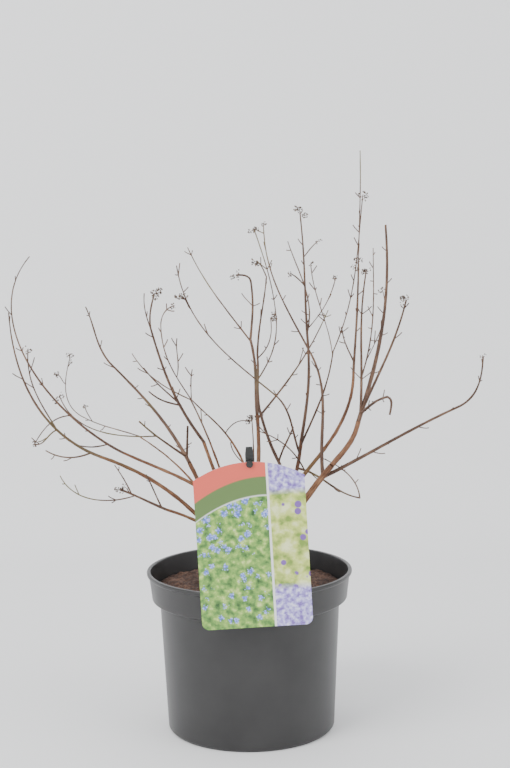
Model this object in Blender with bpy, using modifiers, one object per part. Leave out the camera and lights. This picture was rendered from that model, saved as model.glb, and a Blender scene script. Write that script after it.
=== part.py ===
"""Potted bluebeard: a small bare shrub of twiggy stems with dry seed heads, in a nursery pot with its label.

Metres, +Z up. The origin is the centre of the pot's underside, and the label faces -Y.
The limb tables are in millimetres and degrees.
"""
from math import acos, atan2, ceil, cos, hypot, pi, radians, sin, sqrt, tan
from random import Random

import bmesh
import bpy
from mathutils import Matrix, Vector

MM = 0.001
GAP = 0.35 * MM
TINY = 0.00001

# Pot
POT_HEIGHT = 145 * MM
RIM_RADIUS = 92.4 * MM
BAND_TOP_RADIUS = 90.4 * MM
BAND_FOOT_RADIUS = 87.8 * MM
BAND_HEIGHT = 25 * MM
WALL_TOP_RADIUS = 80.6 * MM
BASE_RADIUS = 75.2 * MM
LIP_HEIGHT = 3.2 * MM
LEDGE_DROP = 2 * MM
WALL = 1.5 * MM
FLOOR = 2 * MM
BASE_ROUND = 2 * MM
POT_STEPS = 60
NOTCHES = 6
NOTCH_WIDTH = 27 * MM
NOTCH_TOP_WIDTH = 22 * MM
NOTCH_HEIGHT = 5.5 * MM
NOTCH_DEPTH = 9 * MM
NOTCH_TURN = radians(4.5)

# Potting soil
SOIL_TOP = 133 * MM
SOIL_FLAT_RADIUS = 24 * MM
SOIL_SHOULDER = (70 * MM, 129 * MM)
SOIL_EDGE_TOP = 123 * MM
SOIL_STEPS = 36

# Stock: the short woody foot that all the stems leave
STOCK_HEIGHT = 36 * MM
STOCK_FLARE_RADIUS = 15 * MM
STOCK_NECK = (9.2 * MM, 8 * MM)
STOCK_RADIUS = 8.5 * MM
STOCK_STEPS = 14

# Label card and the stake behind it
LABEL_WIDTH = 93.5 * MM
LABEL_SIDE = 127 * MM
LABEL_ARCH = 13.5 * MM
LABEL_CORNER = 6 * MM
LABEL_THICK = 0.8 * MM
LABEL_FOOT = Vector((7, 0, 117.5)) * MM
LABEL_TILT = radians(2.7)
LABEL_LEAN = radians(2.5)
LABEL_COLUMNS = 22
STAKE_WIDTH = 7 * MM
STAKE_DEPTH = 3 * MM
STAKE_FOOT = Vector((5, -79.5, 127.8)) * MM
STAKE_HEAD = Vector((1.8, -85.2, 264)) * MM
STAKE_POINT = 6 * MM
PEG_HEIGHT = 256 * MM
PEG_RADIUS = 2.2 * MM
PEG_HEAD_RADIUS = 3 * MM
PEG_HOLE_RADIUS = 2.7 * MM
PEG_REACH = 2 * MM

# The limbs' places are given as they are seen on the upright plane through the pot's axis: across to the
# right, and up from the floor. A limb that stands in front of that plane or behind it, by its back size,
# slides along the line of sight from this eye, so that it keeps its place in the front view.
EYE = Vector((7.5, -1361, 482)) * MM

# A limb's leave and arrive angles are read like a clock hand in that view, from straight up to the right.
HANDLE = 0.38
TAPER = 0.01
SIDE_SHARE = 0.65
THINNEST = 0.9 * MM
BOUGH_STEP = 14 * MM
TWIG_STEP = 13 * MM
BOUGH_SIDES = 7

# Boughs: name, what it grows on, the foot's height on the stock and its turn round it from the right towards
# the back, or the share along a bough, thickness at the foot, then the tip's across, up and back, and the
# leave and arrive angles.
BOUGHS = (
    ("low_left", "stock", (11, 222), 3.3, -74, 200, -30, -15, -72),
    ("left", "stock", (17, 196), 4.3, -132, 249, -38, -35, -70),
    ("far_left", "stock", (30, 165), 3.9, -111, 252, 18, 5, -64),
    ("upper_left", "stock", (19, 135), 2.8, -97, 267, 55, -25, -57),
    ("fan", "stock", (25, 188), 4.5, -52, 242, -2, -30, -25),
    ("arch", "stock", (31, 222), 4.0, -39, 261, -24, -16, -18),
    ("inner", "stock", (30, 120), 2.8, -34, 262, 22, -12, -20),
    ("front", "stock", (29, 258), 2.8, -17, 265, -42, 12, -36),
    ("centre", "stock", (30, 80), 4.5, 9, 285, 30, 6, -4),
    ("fork", "stock", (32, 306), 3.7, 29, 239, -12, 22, 10),
    ("upright", "stock", (26, 25), 4.4, 48, 261, 14, 32, 6),
    ("tall", "stock", (19, 350), 4.4, 95, 322, -20, 6, 0),
    ("right", "stock", (13, 322), 6.3, 75, 238, -46, 34, 40),
    ("elbow", "right", 1.0, 4.7, 99, 277, -30, 42, 12),
)

# Masses of twigs: name, the bough, and its limbs. Each limb has the row it grows on, where 0 is the bough
# and 1 the first row, the share along that, the tip's across, up and back, the leave and arrive angles,
# and the seed head's size at its tip.
MASSES = (
    ("low_left", "low_left", (
        (0, 1.0, -115, 219, -42, -66, -68, 9),
        (1, 0.68, -168, 232, -66, -108, -24, 0),
        (1, 0.76, -119, 241, -22, -24, -34, 0),
        (1, 0.08, -91, 232, -50, -26, -26, 0))),
    ("left", "left", (
        (0, 1.0, -209, 379, -72, -68, -2, 0),
        (1, 0.28, -193, 346, -92, -30, 6, 7),
        (1, 0.05, -180, 255, -15, -112, -58, 0),
        (1, 0.28, -190, 261, -80, -108, -72, 5))),
    ("far_left", "far_left", (
        (0, 1.0, -189, 428, 40, -62, 42, 0),
        (1, 0.07, -150, 259, 5, -105, -78, 0),
        (1, 0.25, -190, 261, -5, -92, -150, 5))),
    ("upper_left", "upper_left", (
        (0, 1.0, -148, 286, 80, -70, -60, 0),
        (1, 1.0, -156, 338, 105, -58, 18, 10),
        (1, 0.8, -144, 294, 60, -30, -10, 6),
        (2, 0.6, -167, 323, 92, -55, -55, 7))),
    ("fan", "fan", (
        (0, 1.0, -121, 333, 115, -27, -44, 0),
        (1, 1.0, -141, 383, 150, -38, -24, 0),
        (1, 0.05, -96, 280, -45, -54, -46, 0),
        (3, 0.62, -166, 303, -100, -92, -20, 9),
        (1, 0.04, -53, 275, -22, 3, 3, 0))),
    ("arch", "arch", (
        (0, 1.0, -84, 363, -85, -36, -15, 0),
        (1, 1.0, -80, 394, -78, -8, 16, 11),
        (1, 0.97, -89, 394, -105, -18, 6, 0),
        (1, 0.36, -91, 328, -95, -46, -36, 0),
        (1, 0.34, -87, 307, -55, -78, -46, 0))),
    ("inner", "inner", (
        (0, 1.0, -50, 299, 45, -22, -27, 0),
        (1, 1.0, -101, 341, 95, -64, -30, 0))),
    ("front", "front", (
        (0, 1.0, -50, 300, -80, -36, -42, 0),
        (1, 1.0, -75, 366, -130, -33, 0, 0),
        (2, 1.0, -63, 383, -150, 2, 75, 6),
        (1, 0.08, 0, 279, -55, 30, 107, 8),
        (1, 0.98, -48, 326, -105, 0, 12, 0),
        (2, 0.3, -61, 354, -95, 16, 8, 0))),
    ("centre", "centre", (
        (0, 1.0, 4, 352, 70, -4, -14, 0),
        (1, 1.0, 5, 404, 98, 6, -8, 0),
        (2, 1.0, -8, 409, 100, -15, -95, 10),
        (1, 0.97, -50, 434, 150, -36, -24, 0))),
    ("cross_right", "centre", (
        (0, 0.97, 73, 377, 130, 40, 24, 0),)),
    ("fork", "fork", (
        (0, 1.0, 11, 290, -15, -26, -14, 0),
        (1, 1.0, 10, 338, -8, -8, -4, 0),
        (2, 1.0, 19, 407, 8, 2, 6, 0),
        (3, 1.0, 10, 421, 14, -25, -60, 9),
        (2, 0.55, 27, 372, -38, 34, -4, 9),
        (5, 1.0, 9, 448, -72, -5, -18, 9),
        (2, 0.95, 22, 371, 30, 52, -8, 0),
        (1, 0.05, 41, 273, -32, 16, 22, 0))),
    ("upright", "upright", (
        (0, 1.0, 55, 345, 20, 10, -3, 0),
        (1, 1.0, 49, 463, 26, -4, -6, 13),
        (2, 0.09, 38, 438, 70, 14, -18, 0),
        (2, 0.68, 65, 438, 34, 42, 55, 6),
        (2, 0.45, 40, 410, 10, -40, -60, 6),
        (3, 0.05, 80, 406, 60, 42, 14, 5))),
    ("leaning", "upright", (
        (0, 0.96, 77, 340, -28, 24, 8, 0),
        (1, 1.0, 104, 476, -62, 24, 6, 8),
        (1, 0.97, 58, 418, -5, -6, -4, 4))),
    ("crossing", "upright", (
        (0, 0.9, 23, 304, -30, -20, -52, 0),
        (1, 1.0, -60, 418, -110, -50, -8, 0),
        (2, 0.72, -57, 392, -95, -44, -62, 9))),
    ("tall", "tall", (
        (0, 1.0, 100, 417, -16, 4, 1, 11),
        (1, 0.95, 102, 516, -42, 1, -1, 0),
        (1, 0.08, 85, 361, -60, -25, -6, 0))),
    ("cluster", "elbow", (
        (0, 1.0, 124, 451, 75, 18, -4, 0),
        (1, 0.03, 107, 412, 25, 4, 10, 8),
        (2, 0.25, 113, 431, 125, 18, 0, 0),
        (3, 0.12, 121, 394, 135, 26, -16, 7),
        (1, 0.05, 142, 385, -85, 24, 14, 9),
        (1, 0.04, 125, 299, -85, 50, 78, 0),
        (6, 1.0, 127, 283, -95, 110, 190, 0))),
    ("wide", "right", (
        (0, 0.88, 190, 290, -30, 64, 66, 0),
        (1, 1.0, 210, 334, -22, 62, 2, 5))),
    ("steep", "right", (
        (0, 0.9, 55, 343, 50, -6, -30, 0),
        (1, 1.0, 17, 454, 110, -27, 0, 5))),
    ("low_right", "upright", (
        (0, 0.78, 100, 208, -62, 102, 100, 0),
        (1, 1.0, 68, 244, -20, -6, -64, 0),
        (1, 0.1, 10, 270, -50, -25, -70, 0))),
    ("short", "stock", (
        (0, (31, 282), 4, 284, -24, 3, -4, 7),
        (1, 0.55, -15, 260, -50, -30, -6, 0))),
)

# Twiglets: the small side twigs that the seeded rule deals out along every limb of a mass.
SEED = 11
TWIGLET_SPACING = 34 * MM
TWIGLET_CHANCE = 0.45
TWIGLET_SHORTEST = 7 * MM
TWIGLET_LONGEST = 19 * MM
TWIGLET_THICK = 1.0 * MM
TWIGLET_ROOM = 4 * MM
TWIGLET_SPREAD = (radians(30), radians(55))
BERRIES = 3

BARK = (0.16, 0.085, 0.05, 1)
TWIG_BARK = (0.11, 0.075, 0.055, 1)
SOIL_BROWN = (0.05, 0.026, 0.017, 1)
POT_BLACK = (0.025, 0.025, 0.028, 1)
LABEL_GREEN = (0.35, 0.5, 0.25, 1)
STAKE_BLACK = (0.012, 0.013, 0.012, 1)


def clear_scene():
    for item in list(bpy.data.objects):
        bpy.data.objects.remove(item, do_unlink=True)


def new_collection(name):
    collection = bpy.data.collections.new(name)
    bpy.context.scene.collection.children.link(collection)
    return collection


def material(name, colour, roughness):
    made = bpy.data.materials.new(name)
    made.use_nodes = True
    shader = made.node_tree.nodes["Principled BSDF"]
    shader.inputs["Base Color"].default_value = colour
    shader.inputs["Roughness"].default_value = roughness
    shader.inputs["Metallic"].default_value = 0
    made.diffuse_color = colour
    return made


def mesh_object(name, bm, collection):
    mesh = bpy.data.meshes.new(name)
    bm.to_mesh(mesh)
    bm.free()
    made = bpy.data.objects.new(name, mesh)
    collection.objects.link(made)
    return made


def baked(item):
    """The object's evaluated mesh, its loose caps welded, on a new object in the same collection."""
    depsgraph = bpy.context.evaluated_depsgraph_get()
    mesh = bpy.data.meshes.new_from_object(item.evaluated_get(depsgraph))
    bm = bmesh.new()
    bm.from_mesh(mesh)
    bmesh.ops.remove_doubles(bm, verts=bm.verts, dist=TINY / 10)
    bmesh.ops.recalc_face_normals(bm, faces=bm.faces)
    bm.to_mesh(mesh)
    bm.free()
    name, place, collection = item.name, item.matrix_world.copy(), item.users_collection[0]
    bpy.data.objects.remove(item, do_unlink=True)
    made = bpy.data.objects.new(name, mesh)
    made.matrix_world = place
    collection.objects.link(made)
    return made


def turned(name, profile, steps, collection):
    """A solid of revolution about Z from (radius, height) points that run over the top and down the outside."""
    bm = bmesh.new()
    corners = [bm.verts.new((radius, 0, height)) for radius, height in profile]
    for corner, after in zip(corners, corners[1:]):
        bm.edges.new((corner, after))
    made = mesh_object(name, bm, collection)
    screw = made.modifiers.new("Screw", "SCREW")
    screw.axis = "Z"
    screw.steps = steps
    screw.render_steps = steps
    screw.use_merge_vertices = True
    screw.merge_threshold = TINY
    return made


class Limb:
    """One tapering limb: a bent line through the crown, in sight places (across, up, back)."""

    def __init__(self, start, tip, leave, arrive, foot_thick):
        self.start = start
        self.tip = tip
        chord = hypot(tip.x - start.x, tip.y - start.y)
        third = (tip.z - start.z) / 3
        reach = chord * HANDLE
        self.leaving = start + Vector((sin(leave) * reach, cos(leave) * reach, third))
        self.arriving = tip - Vector((sin(arrive) * reach, cos(arrive) * reach, third))
        self.length = self.measure()
        self.foot_thick = foot_thick
        self.tip_thick = max(THINNEST, foot_thick - self.length * TAPER)

    def place(self, share):
        rest = 1 - share
        return (self.start * rest ** 3 + self.leaving * 3 * rest ** 2 * share
                + self.arriving * 3 * rest * share ** 2 + self.tip * share ** 3)

    def heading(self, share):
        rest = 1 - share
        return ((self.leaving - self.start) * rest ** 2 + (self.arriving - self.leaving) * 2 * rest * share
                + (self.tip - self.arriving) * share ** 2).normalized()

    def measure(self):
        marks = [self.place(i / 16) for i in range(17)]
        return sum((b - a).length for a, b in zip(marks, marks[1:]))

    def thick(self, share):
        return self.foot_thick + (self.tip_thick - self.foot_thick) * share

    def samples(self, step):
        count = max(3, ceil(self.length / step))
        return [(self.place(i / count), self.thick(i / count) / 2) for i in range(count + 1)]


def slide(place):
    """A sight place as a point in space."""
    seen = Vector((place.x, 0, place.y))
    return EYE + (seen - EYE) * (1 - place.z / EYE.y)


def first_heading(start, tip, leave):
    reach = hypot(tip.x - start.x, tip.y - start.y) * HANDLE
    return Vector((sin(leave) * reach, cos(leave) * reach, (tip.z - start.z) / 3)).normalized()


def stock_start(height, turn, radius):
    """A foot beside the stock."""
    away = STOCK_RADIUS + GAP + radius
    return Vector((cos(turn) * away, SOIL_TOP + height, sin(turn) * away))


def clear_start(parent, share, tip, leave, radius):
    """A foot clear of the parent, past its tip or beside it."""
    at = parent.place(share)
    heading = first_heading(at, tip, leave)
    angle = acos(max(-1, min(1, heading.dot(parent.heading(share)))))
    if share == 1:
        return at + heading * (GAP + radius * sin(angle)) / cos(angle)
    return at + heading * (parent.thick(share) / 2 + GAP + radius * cos(angle)) / sin(angle)


def grow_boughs():
    boughs = {}
    for name, on, at, thick, across, up, back, leave, arrive in BOUGHS:
        tip = Vector((across, up, back)) * MM
        leave, arrive, thick = radians(leave), radians(arrive), thick * MM
        if on == "stock":
            height, turn = at
            start = stock_start(height * MM, radians(turn), thick / 2)
        else:
            start = clear_start(boughs[on], at, tip, leave, thick / 2)
        boughs[name] = Limb(start, tip, leave, arrive, thick)
    return boughs


def grow_mass(bough, rows):
    """The limbs of one mass, and its seed heads as (place, size)."""
    limbs = [bough]
    heads = []
    for on, at, across, up, back, leave, arrive, head in rows:
        tip = Vector((across, up, back)) * MM
        leave, arrive = radians(leave), radians(arrive)
        parent = limbs[on]
        if parent is None:
            height, turn = at
            thick = 2.2 * MM
            start = stock_start(height * MM, radians(turn), thick / 2)
        else:
            thick = parent.tip_thick if at == 1 else max(THINNEST, parent.thick(at) * SIDE_SHARE)
            start = parent.place(at)
            if on == 0:
                start = clear_start(parent, at, tip, leave, thick / 2)
        limbs.append(Limb(start, tip, leave, arrive, thick))
        if head:
            heads.append((tip, head * MM))
    return limbs[1:], heads


def grow_twiglets(limbs, others, rng):
    """Opposite pairs of small side twigs at even nodes; one with no room beside the other limbs is skipped."""
    twiglets = []
    for limb in limbs:
        nodes = int(limb.length / TWIGLET_SPACING)
        for node in range(1, nodes + 1):
            share = node / (nodes + 0.5)
            spin = rng.uniform(0, pi)
            for side in (0, pi):
                length = rng.uniform(TWIGLET_SHORTEST, TWIGLET_LONGEST)
                spread = rng.uniform(*TWIGLET_SPREAD)
                wanted = rng.random() < TWIGLET_CHANCE
                heading = limb.heading(share)
                across = heading.orthogonal().normalized()
                across.rotate(Matrix.Rotation(spin + side, 3, heading))
                start = limb.place(share)
                tip = start + (heading * cos(spread) + across * sin(spread)) * length
                if wanted and all((tip - place).length > TWIGLET_ROOM for place in others):
                    leave = atan2(tip.x - start.x, tip.y - start.y)
                    twiglets.append(Limb(start, tip, leave, leave * 0.8, TWIGLET_THICK))
    return twiglets


def tube(name, samples, sides, collection):
    """A tapering tube through (place, radius) samples: three-sided on a triangle, or round."""
    curve = bpy.data.curves.new(name, "CURVE")
    curve.dimensions = "3D"
    curve.use_fill_caps = True
    curve.twist_mode = "MINIMUM"
    if sides == 3:
        curve.bevel_mode = "OBJECT"
        curve.bevel_object = bpy.data.objects["three_sided"]
    else:
        curve.bevel_depth = 1
        curve.bevel_resolution = 1
    spline = curve.splines.new("POLY")
    spline.points.add(len(samples) - 1)
    for point, (place, radius) in zip(spline.points, samples):
        point.co = (*slide(place), 1)
        point.radius = radius
    made = bpy.data.objects.new(name, curve)
    collection.objects.link(made)
    return baked(made)


def berry(name, place, size, rng, collection):
    """One lump of a seed head."""
    bm = bmesh.new()
    bmesh.ops.create_icosphere(bm, subdivisions=1, radius=size)
    bmesh.ops.scale(bm, vec=(1, 1, rng.uniform(0.8, 1.2)), verts=bm.verts)
    bmesh.ops.rotate(bm, matrix=Matrix.Rotation(rng.uniform(0, pi), 3, "X"), verts=bm.verts)
    bmesh.ops.translate(bm, vec=place, verts=bm.verts)
    return mesh_object(name, bm, collection)


def seed_head(name, place, size, rng, collection):
    """A few lumps bunched round the twig's tip."""
    spot = slide(place)
    turn = rng.uniform(0, 2 * pi)
    for i in range(BERRIES):
        way = turn + i * 2 * pi / BERRIES
        aside = Vector((cos(way), sin(way) * 0.7, 0.35 * i - 0.3)) * size * 0.24
        berry(f"{name}_{i}", spot + aside, size * rng.uniform(0.26, 0.36), rng, collection)


def united(name, pieces, collection):
    """The pieces joined into one closed solid by a union over their collection."""
    first = pieces.objects[0]
    pieces.objects.unlink(first)
    collection.objects.link(first)
    first.name = name
    union = first.modifiers.new("Union", "BOOLEAN")
    union.operation = "UNION"
    union.operand_type = "COLLECTION"
    union.collection = pieces
    union.solver = "MANIFOLD"
    made = baked(first)
    made.name = name
    for item in list(pieces.objects):
        bpy.data.objects.remove(item, do_unlink=True)
    return made


def runs(limbs):
    """The limbs as lines of samples, where one that starts at another's tip runs on from it."""
    lines = []
    for limb in limbs:
        samples = limb.samples(TWIG_STEP)
        before = next((line for line in lines if (line[-1][0] - limb.start).length < TINY), None)
        if before:
            before.extend(samples[1:])
        else:
            lines.append(samples)
    return lines


def build_pot(collection, cutters):
    band_foot = POT_HEIGHT - BAND_HEIGHT
    ledge = band_foot - LEDGE_DROP
    slope = (WALL_TOP_RADIUS - BASE_RADIUS) / ledge
    pot = turned("pot", (
        (0, FLOOR),
        (BASE_RADIUS - WALL + slope * FLOOR, FLOOR),
        (WALL_TOP_RADIUS - WALL, ledge),
        (BAND_FOOT_RADIUS - WALL, band_foot),
        (BAND_TOP_RADIUS - WALL, POT_HEIGHT),
        (RIM_RADIUS - 0.6 * MM, POT_HEIGHT),
        (RIM_RADIUS, POT_HEIGHT - LIP_HEIGHT / 3),
        (RIM_RADIUS - 0.4 * MM, POT_HEIGHT - LIP_HEIGHT),
        (BAND_TOP_RADIUS, POT_HEIGHT - LIP_HEIGHT - 1 * MM),
        (BAND_FOOT_RADIUS, band_foot),
        (BAND_FOOT_RADIUS - 1.2 * MM, band_foot - 1 * MM),
        (WALL_TOP_RADIUS, ledge - WALL),
        (BASE_RADIUS + slope * BASE_ROUND, BASE_ROUND),
        (BASE_RADIUS - BASE_ROUND, 0),
        (0, 0)), POT_STEPS, collection)
    pot.data.materials.append(material("black_plastic", POT_BLACK, 0.42))
    for i in range(NOTCHES):
        notch = notch_cutter(f"notch_{i}", NOTCH_TURN + i * 2 * pi / NOTCHES, cutters)
        cut = pot.modifiers.new(notch.name, "BOOLEAN")
        cut.operation = "DIFFERENCE"
        cut.object = notch


def notch_cutter(name, turn, cutters):
    """A block with sloping sides across the base's edge, at a turn to the right of the front."""
    bm = bmesh.new()
    bmesh.ops.create_cube(bm, size=1)
    for vert in bm.verts:
        top = vert.co.z > 0
        width = NOTCH_TOP_WIDTH if top else NOTCH_WIDTH
        vert.co = Vector((vert.co.x * width, vert.co.y * NOTCH_DEPTH * 2, NOTCH_HEIGHT if top else -NOTCH_HEIGHT))
    cutter = mesh_object(name, bm, cutters)
    cutter.location = Vector((sin(turn), -cos(turn), 0)) * (BASE_RADIUS + 2 * MM)
    cutter.rotation_euler.z = turn
    cutter.hide_render = True
    cutter.display_type = "WIRE"
    return cutter


def build_soil(collection):
    band_foot = POT_HEIGHT - BAND_HEIGHT
    ledge = band_foot - LEDGE_DROP
    inner = WALL + GAP
    soil = turned("potting_soil", (
        (0, SOIL_TOP),
        (SOIL_FLAT_RADIUS, SOIL_TOP),
        (SOIL_SHOULDER[0], SOIL_SHOULDER[1]),
        (BAND_FOOT_RADIUS - inner - 1 * MM, SOIL_EDGE_TOP),
        (BAND_FOOT_RADIUS - inner - 1 * MM, band_foot + GAP),
        (WALL_TOP_RADIUS - inner - 0.5 * MM, ledge),
        (BASE_RADIUS - inner - NOTCH_DEPTH / 3, FLOOR + GAP),
        (0, FLOOR + GAP)), SOIL_STEPS, collection)
    soil.data.materials.append(material("potting_soil", SOIL_BROWN, 0.95))


def build_stock(collection):
    foot = SOIL_TOP + GAP
    stock = turned("stock", (
        (0, foot + STOCK_HEIGHT),
        (STOCK_RADIUS * 0.7, foot + STOCK_HEIGHT - 1 * MM),
        (STOCK_RADIUS * 0.97, foot + STOCK_HEIGHT - 5 * MM),
        (STOCK_RADIUS, foot + STOCK_HEIGHT / 2),
        (STOCK_NECK[0], foot + STOCK_NECK[1]),
        (STOCK_FLARE_RADIUS, foot),
        (0, foot)), STOCK_STEPS, collection)
    stock.data.materials.append(material("old_bark", BARK, 0.85))


def label_frame():
    """The label's own axes as a matrix: X across it, Z up it, its back on the plane Y = 0."""
    rim_drop = (POT_HEIGHT - LABEL_FOOT.z) * tan(LABEL_LEAN)
    foot = LABEL_FOOT + Vector((0, -RIM_RADIUS - GAP - 0.2 * MM - rim_drop, 0))
    return (Matrix.Translation(foot) @ Matrix.Rotation(-LABEL_LEAN, 4, "X")
            @ Matrix.Rotation(-LABEL_TILT, 4, "Y"))


def label_edges(across):
    """The label's lower and upper edge heights at a place across it."""
    half = LABEL_WIDTH / 2
    arch_radius = (half ** 2 + LABEL_ARCH ** 2) / (2 * LABEL_ARCH)
    top = LABEL_SIDE + LABEL_ARCH - arch_radius + sqrt(arch_radius ** 2 - across ** 2)
    inset = max(0, abs(across) - (half - LABEL_CORNER))
    foot = LABEL_CORNER - sqrt(LABEL_CORNER ** 2 - inset ** 2)
    return foot, top


def build_label(collection, cutters, peg_place):
    bm = bmesh.new()
    half = LABEL_WIDTH / 2
    columns = []
    for i in range(LABEL_COLUMNS + 1):
        across = half * sin(pi * (i / LABEL_COLUMNS - 0.5))
        foot, top = label_edges(across)
        columns.append((bm.verts.new((across, 0, foot)), bm.verts.new((across, 0, top))))
    for (low, high), (next_low, next_high) in zip(columns, columns[1:]):
        bm.faces.new((low, next_low, next_high, high))
    label = mesh_object("label", bm, collection)
    label.matrix_world = label_frame()
    card = label.modifiers.new("Card", "SOLIDIFY")
    card.thickness = LABEL_THICK
    card.offset = 1
    hole = cutter_pin("peg_hole", peg_place, PEG_HOLE_RADIUS, cutters)
    cut = label.modifiers.new("Hole", "BOOLEAN")
    cut.operation = "DIFFERENCE"
    cut.object = hole
    label.data.materials.append(material("label_card", LABEL_GREEN, 0.35))


def cutter_pin(name, place, radius, cutters):
    pin = cylinder(name, radius, 20 * MM, cutters)
    pin.location = place
    pin.hide_render = True
    pin.display_type = "WIRE"
    return pin


def cylinder(name, radius, length, collection):
    """A round bar along Y, centred on its origin."""
    bm = bmesh.new()
    bmesh.ops.create_cone(bm, cap_ends=True, segments=16, radius1=radius, radius2=radius, depth=length)
    bmesh.ops.rotate(bm, matrix=Matrix.Rotation(pi / 2, 3, "X"), verts=bm.verts)
    return mesh_object(name, bm, collection)


def peg_place():
    """Where the peg crosses the label's middle plane."""
    share = (PEG_HEIGHT - STAKE_FOOT.z) / (STAKE_HEAD.z - STAKE_FOOT.z)
    across = STAKE_FOOT.x + (STAKE_HEAD.x - STAKE_FOOT.x) * share
    lean = (PEG_HEIGHT - LABEL_FOOT.z) * tan(LABEL_LEAN)
    back = label_frame().translation.y + lean
    return Vector((across, back - LABEL_THICK / 2, PEG_HEIGHT))


def build_stake(collection):
    """A flat pointed stake behind the label, with a round-headed peg through the label's hole."""
    pieces = new_collection("stake_pieces")
    up = (STAKE_HEAD - STAKE_FOOT).normalized()
    length = (STAKE_HEAD - STAKE_FOOT).length
    bm = bmesh.new()
    bmesh.ops.create_cube(bm, size=1)
    bmesh.ops.scale(bm, vec=(STAKE_WIDTH, STAKE_DEPTH, length), verts=bm.verts)
    bm.normal_update()
    crown = [face for face in bm.faces if face.normal.z > 0.5]
    bmesh.ops.inset_region(bm, faces=crown, thickness=STAKE_DEPTH * 0.4)
    bmesh.ops.translate(bm, vec=(0, 0, STAKE_POINT), verts=crown[0].verts)
    bar = mesh_object("stake_bar", bm, pieces)
    bar.location = (STAKE_FOOT + STAKE_HEAD) / 2
    bar.rotation_mode = "QUATERNION"
    bar.rotation_quaternion = Vector((0, 0, 1)).rotation_difference(up)
    bar = baked(bar)
    spot = peg_place()
    shaft_length = 7 * MM
    shaft = cylinder("peg_shaft", PEG_RADIUS, shaft_length, pieces)
    shaft.location = spot + Vector((0, shaft_length / 2 - PEG_REACH, 0))
    button = cylinder("peg_button", PEG_HEAD_RADIUS, PEG_REACH * 0.7, pieces)
    button.location = spot + Vector((0, -LABEL_THICK / 2 - GAP - 0.2 * MM - PEG_REACH * 0.35, 0))
    stake = united("label_stake", pieces, collection)
    bpy.data.collections.remove(pieces)
    stake.data.materials.append(material("stake_plastic", STAKE_BLACK, 0.5))


def build_limbs(collection, guides):
    """Every bough as its own solid, and every mass joined from its twigs and seed heads."""
    bark = material("bark", BARK, 0.8)
    twig_bark = material("twig_bark", TWIG_BARK, 0.85)
    profile = bpy.data.curves.new("three_sided", "CURVE")
    profile.dimensions = "2D"
    outline = profile.splines.new("POLY")
    outline.points.add(2)
    for i, point in enumerate(outline.points):
        point.co = (cos(2 * pi * i / 3), sin(2 * pi * i / 3), 0, 1)
    outline.use_cyclic_u = True
    guide = bpy.data.objects.new("three_sided", profile)
    guide.hide_render = True
    guide.display_type = "WIRE"
    guides.objects.link(guide)

    boughs = grow_boughs()
    for name, limb in boughs.items():
        solid = tube(f"bough_{name}", limb.samples(BOUGH_STEP), BOUGH_SIDES, collection)
        solid.data.materials.append(bark)

    rng = Random(SEED)
    masses = {name: grow_mass(boughs.get(bough), rows) for name, bough, rows in MASSES}
    places = {name: [place for limb in limbs for place, _ in limb.samples(TWIG_STEP / 2)]
              for name, (limbs, _) in masses.items()}
    bough_places = [place for limb in boughs.values() for place, _ in limb.samples(BOUGH_STEP / 2)]
    for name, (limbs, heads) in masses.items():
        others = bough_places + [place for other, spots in places.items() if other != name for place in spots]
        twiglets = grow_twiglets(limbs, others, rng)
        pieces = new_collection("pieces")
        for i, line in enumerate(runs(limbs) + [twiglet.samples(TWIG_STEP) for twiglet in twiglets]):
            tube(f"twig_{i}", line, 3, pieces)
        for i, (place, size) in enumerate(heads):
            seed_head(f"head_{i}", place, size, rng, pieces)
        solid = united(f"twigs_{name}", pieces, collection)
        bpy.data.collections.remove(pieces)
        solid.data.materials.append(twig_bark)


def main():
    clear_scene()
    parts = new_collection("potted_bluebeard")
    cutters = new_collection("cutters")
    build_pot(parts, cutters)
    build_soil(parts)
    build_stock(parts)
    build_limbs(parts, cutters)
    build_label(parts, cutters, peg_place())
    build_stake(parts)


main()
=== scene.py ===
# %% [markdown]
# # A bluebeard shrub in its nursery pot
# The plant is a small deciduous shrub in winter: brown stems, fine opposite twigs, and dry seed heads where
# the blue flowers were. It stands in a black plastic pot with a printed label.
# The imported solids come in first. They say where each stem, the pot and the label are, and nearly every
# piece made here takes the place of some of them.

from math import atan2, ceil, cos, hypot, pi, radians, sin, sqrt, tan
from random import Random

import bmesh
import bpy
from mathutils import Matrix, Vector, noise


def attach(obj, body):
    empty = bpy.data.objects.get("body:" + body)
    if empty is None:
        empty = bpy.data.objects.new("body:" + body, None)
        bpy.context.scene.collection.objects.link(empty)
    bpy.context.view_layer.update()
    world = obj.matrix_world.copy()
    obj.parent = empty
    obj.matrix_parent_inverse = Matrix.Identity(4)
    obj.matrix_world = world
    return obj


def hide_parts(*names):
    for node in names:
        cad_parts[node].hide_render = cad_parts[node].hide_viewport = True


MM = 0.001
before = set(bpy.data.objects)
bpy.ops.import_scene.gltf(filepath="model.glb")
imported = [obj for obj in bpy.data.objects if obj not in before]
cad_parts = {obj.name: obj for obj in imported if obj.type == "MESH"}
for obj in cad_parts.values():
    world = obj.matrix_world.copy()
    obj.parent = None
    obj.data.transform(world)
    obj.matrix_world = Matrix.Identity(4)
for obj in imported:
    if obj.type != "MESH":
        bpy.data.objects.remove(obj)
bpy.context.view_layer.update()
print("nodes in the frame:", len(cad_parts))

# %% [markdown]
# ## Two helpers
# Every piece ends the same way: its data goes on a new object, and the object is linked to the scene. A
# shape that was built face by face becomes a mesh first. Two short functions say that once.

# %% Put data in the scene
def in_scene(name, data):
    """A new object with this data, linked to the scene."""
    made = bpy.data.objects.new(name, data)
    bpy.context.scene.collection.objects.link(made)
    return made


def mesh_in_scene(name, bm):
    """The finished bmesh as a mesh object in the scene."""
    mesh = bpy.data.meshes.new(name)
    bm.to_mesh(mesh)
    bm.free()
    return in_scene(name, mesh)


print("scene helpers ready")

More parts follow.
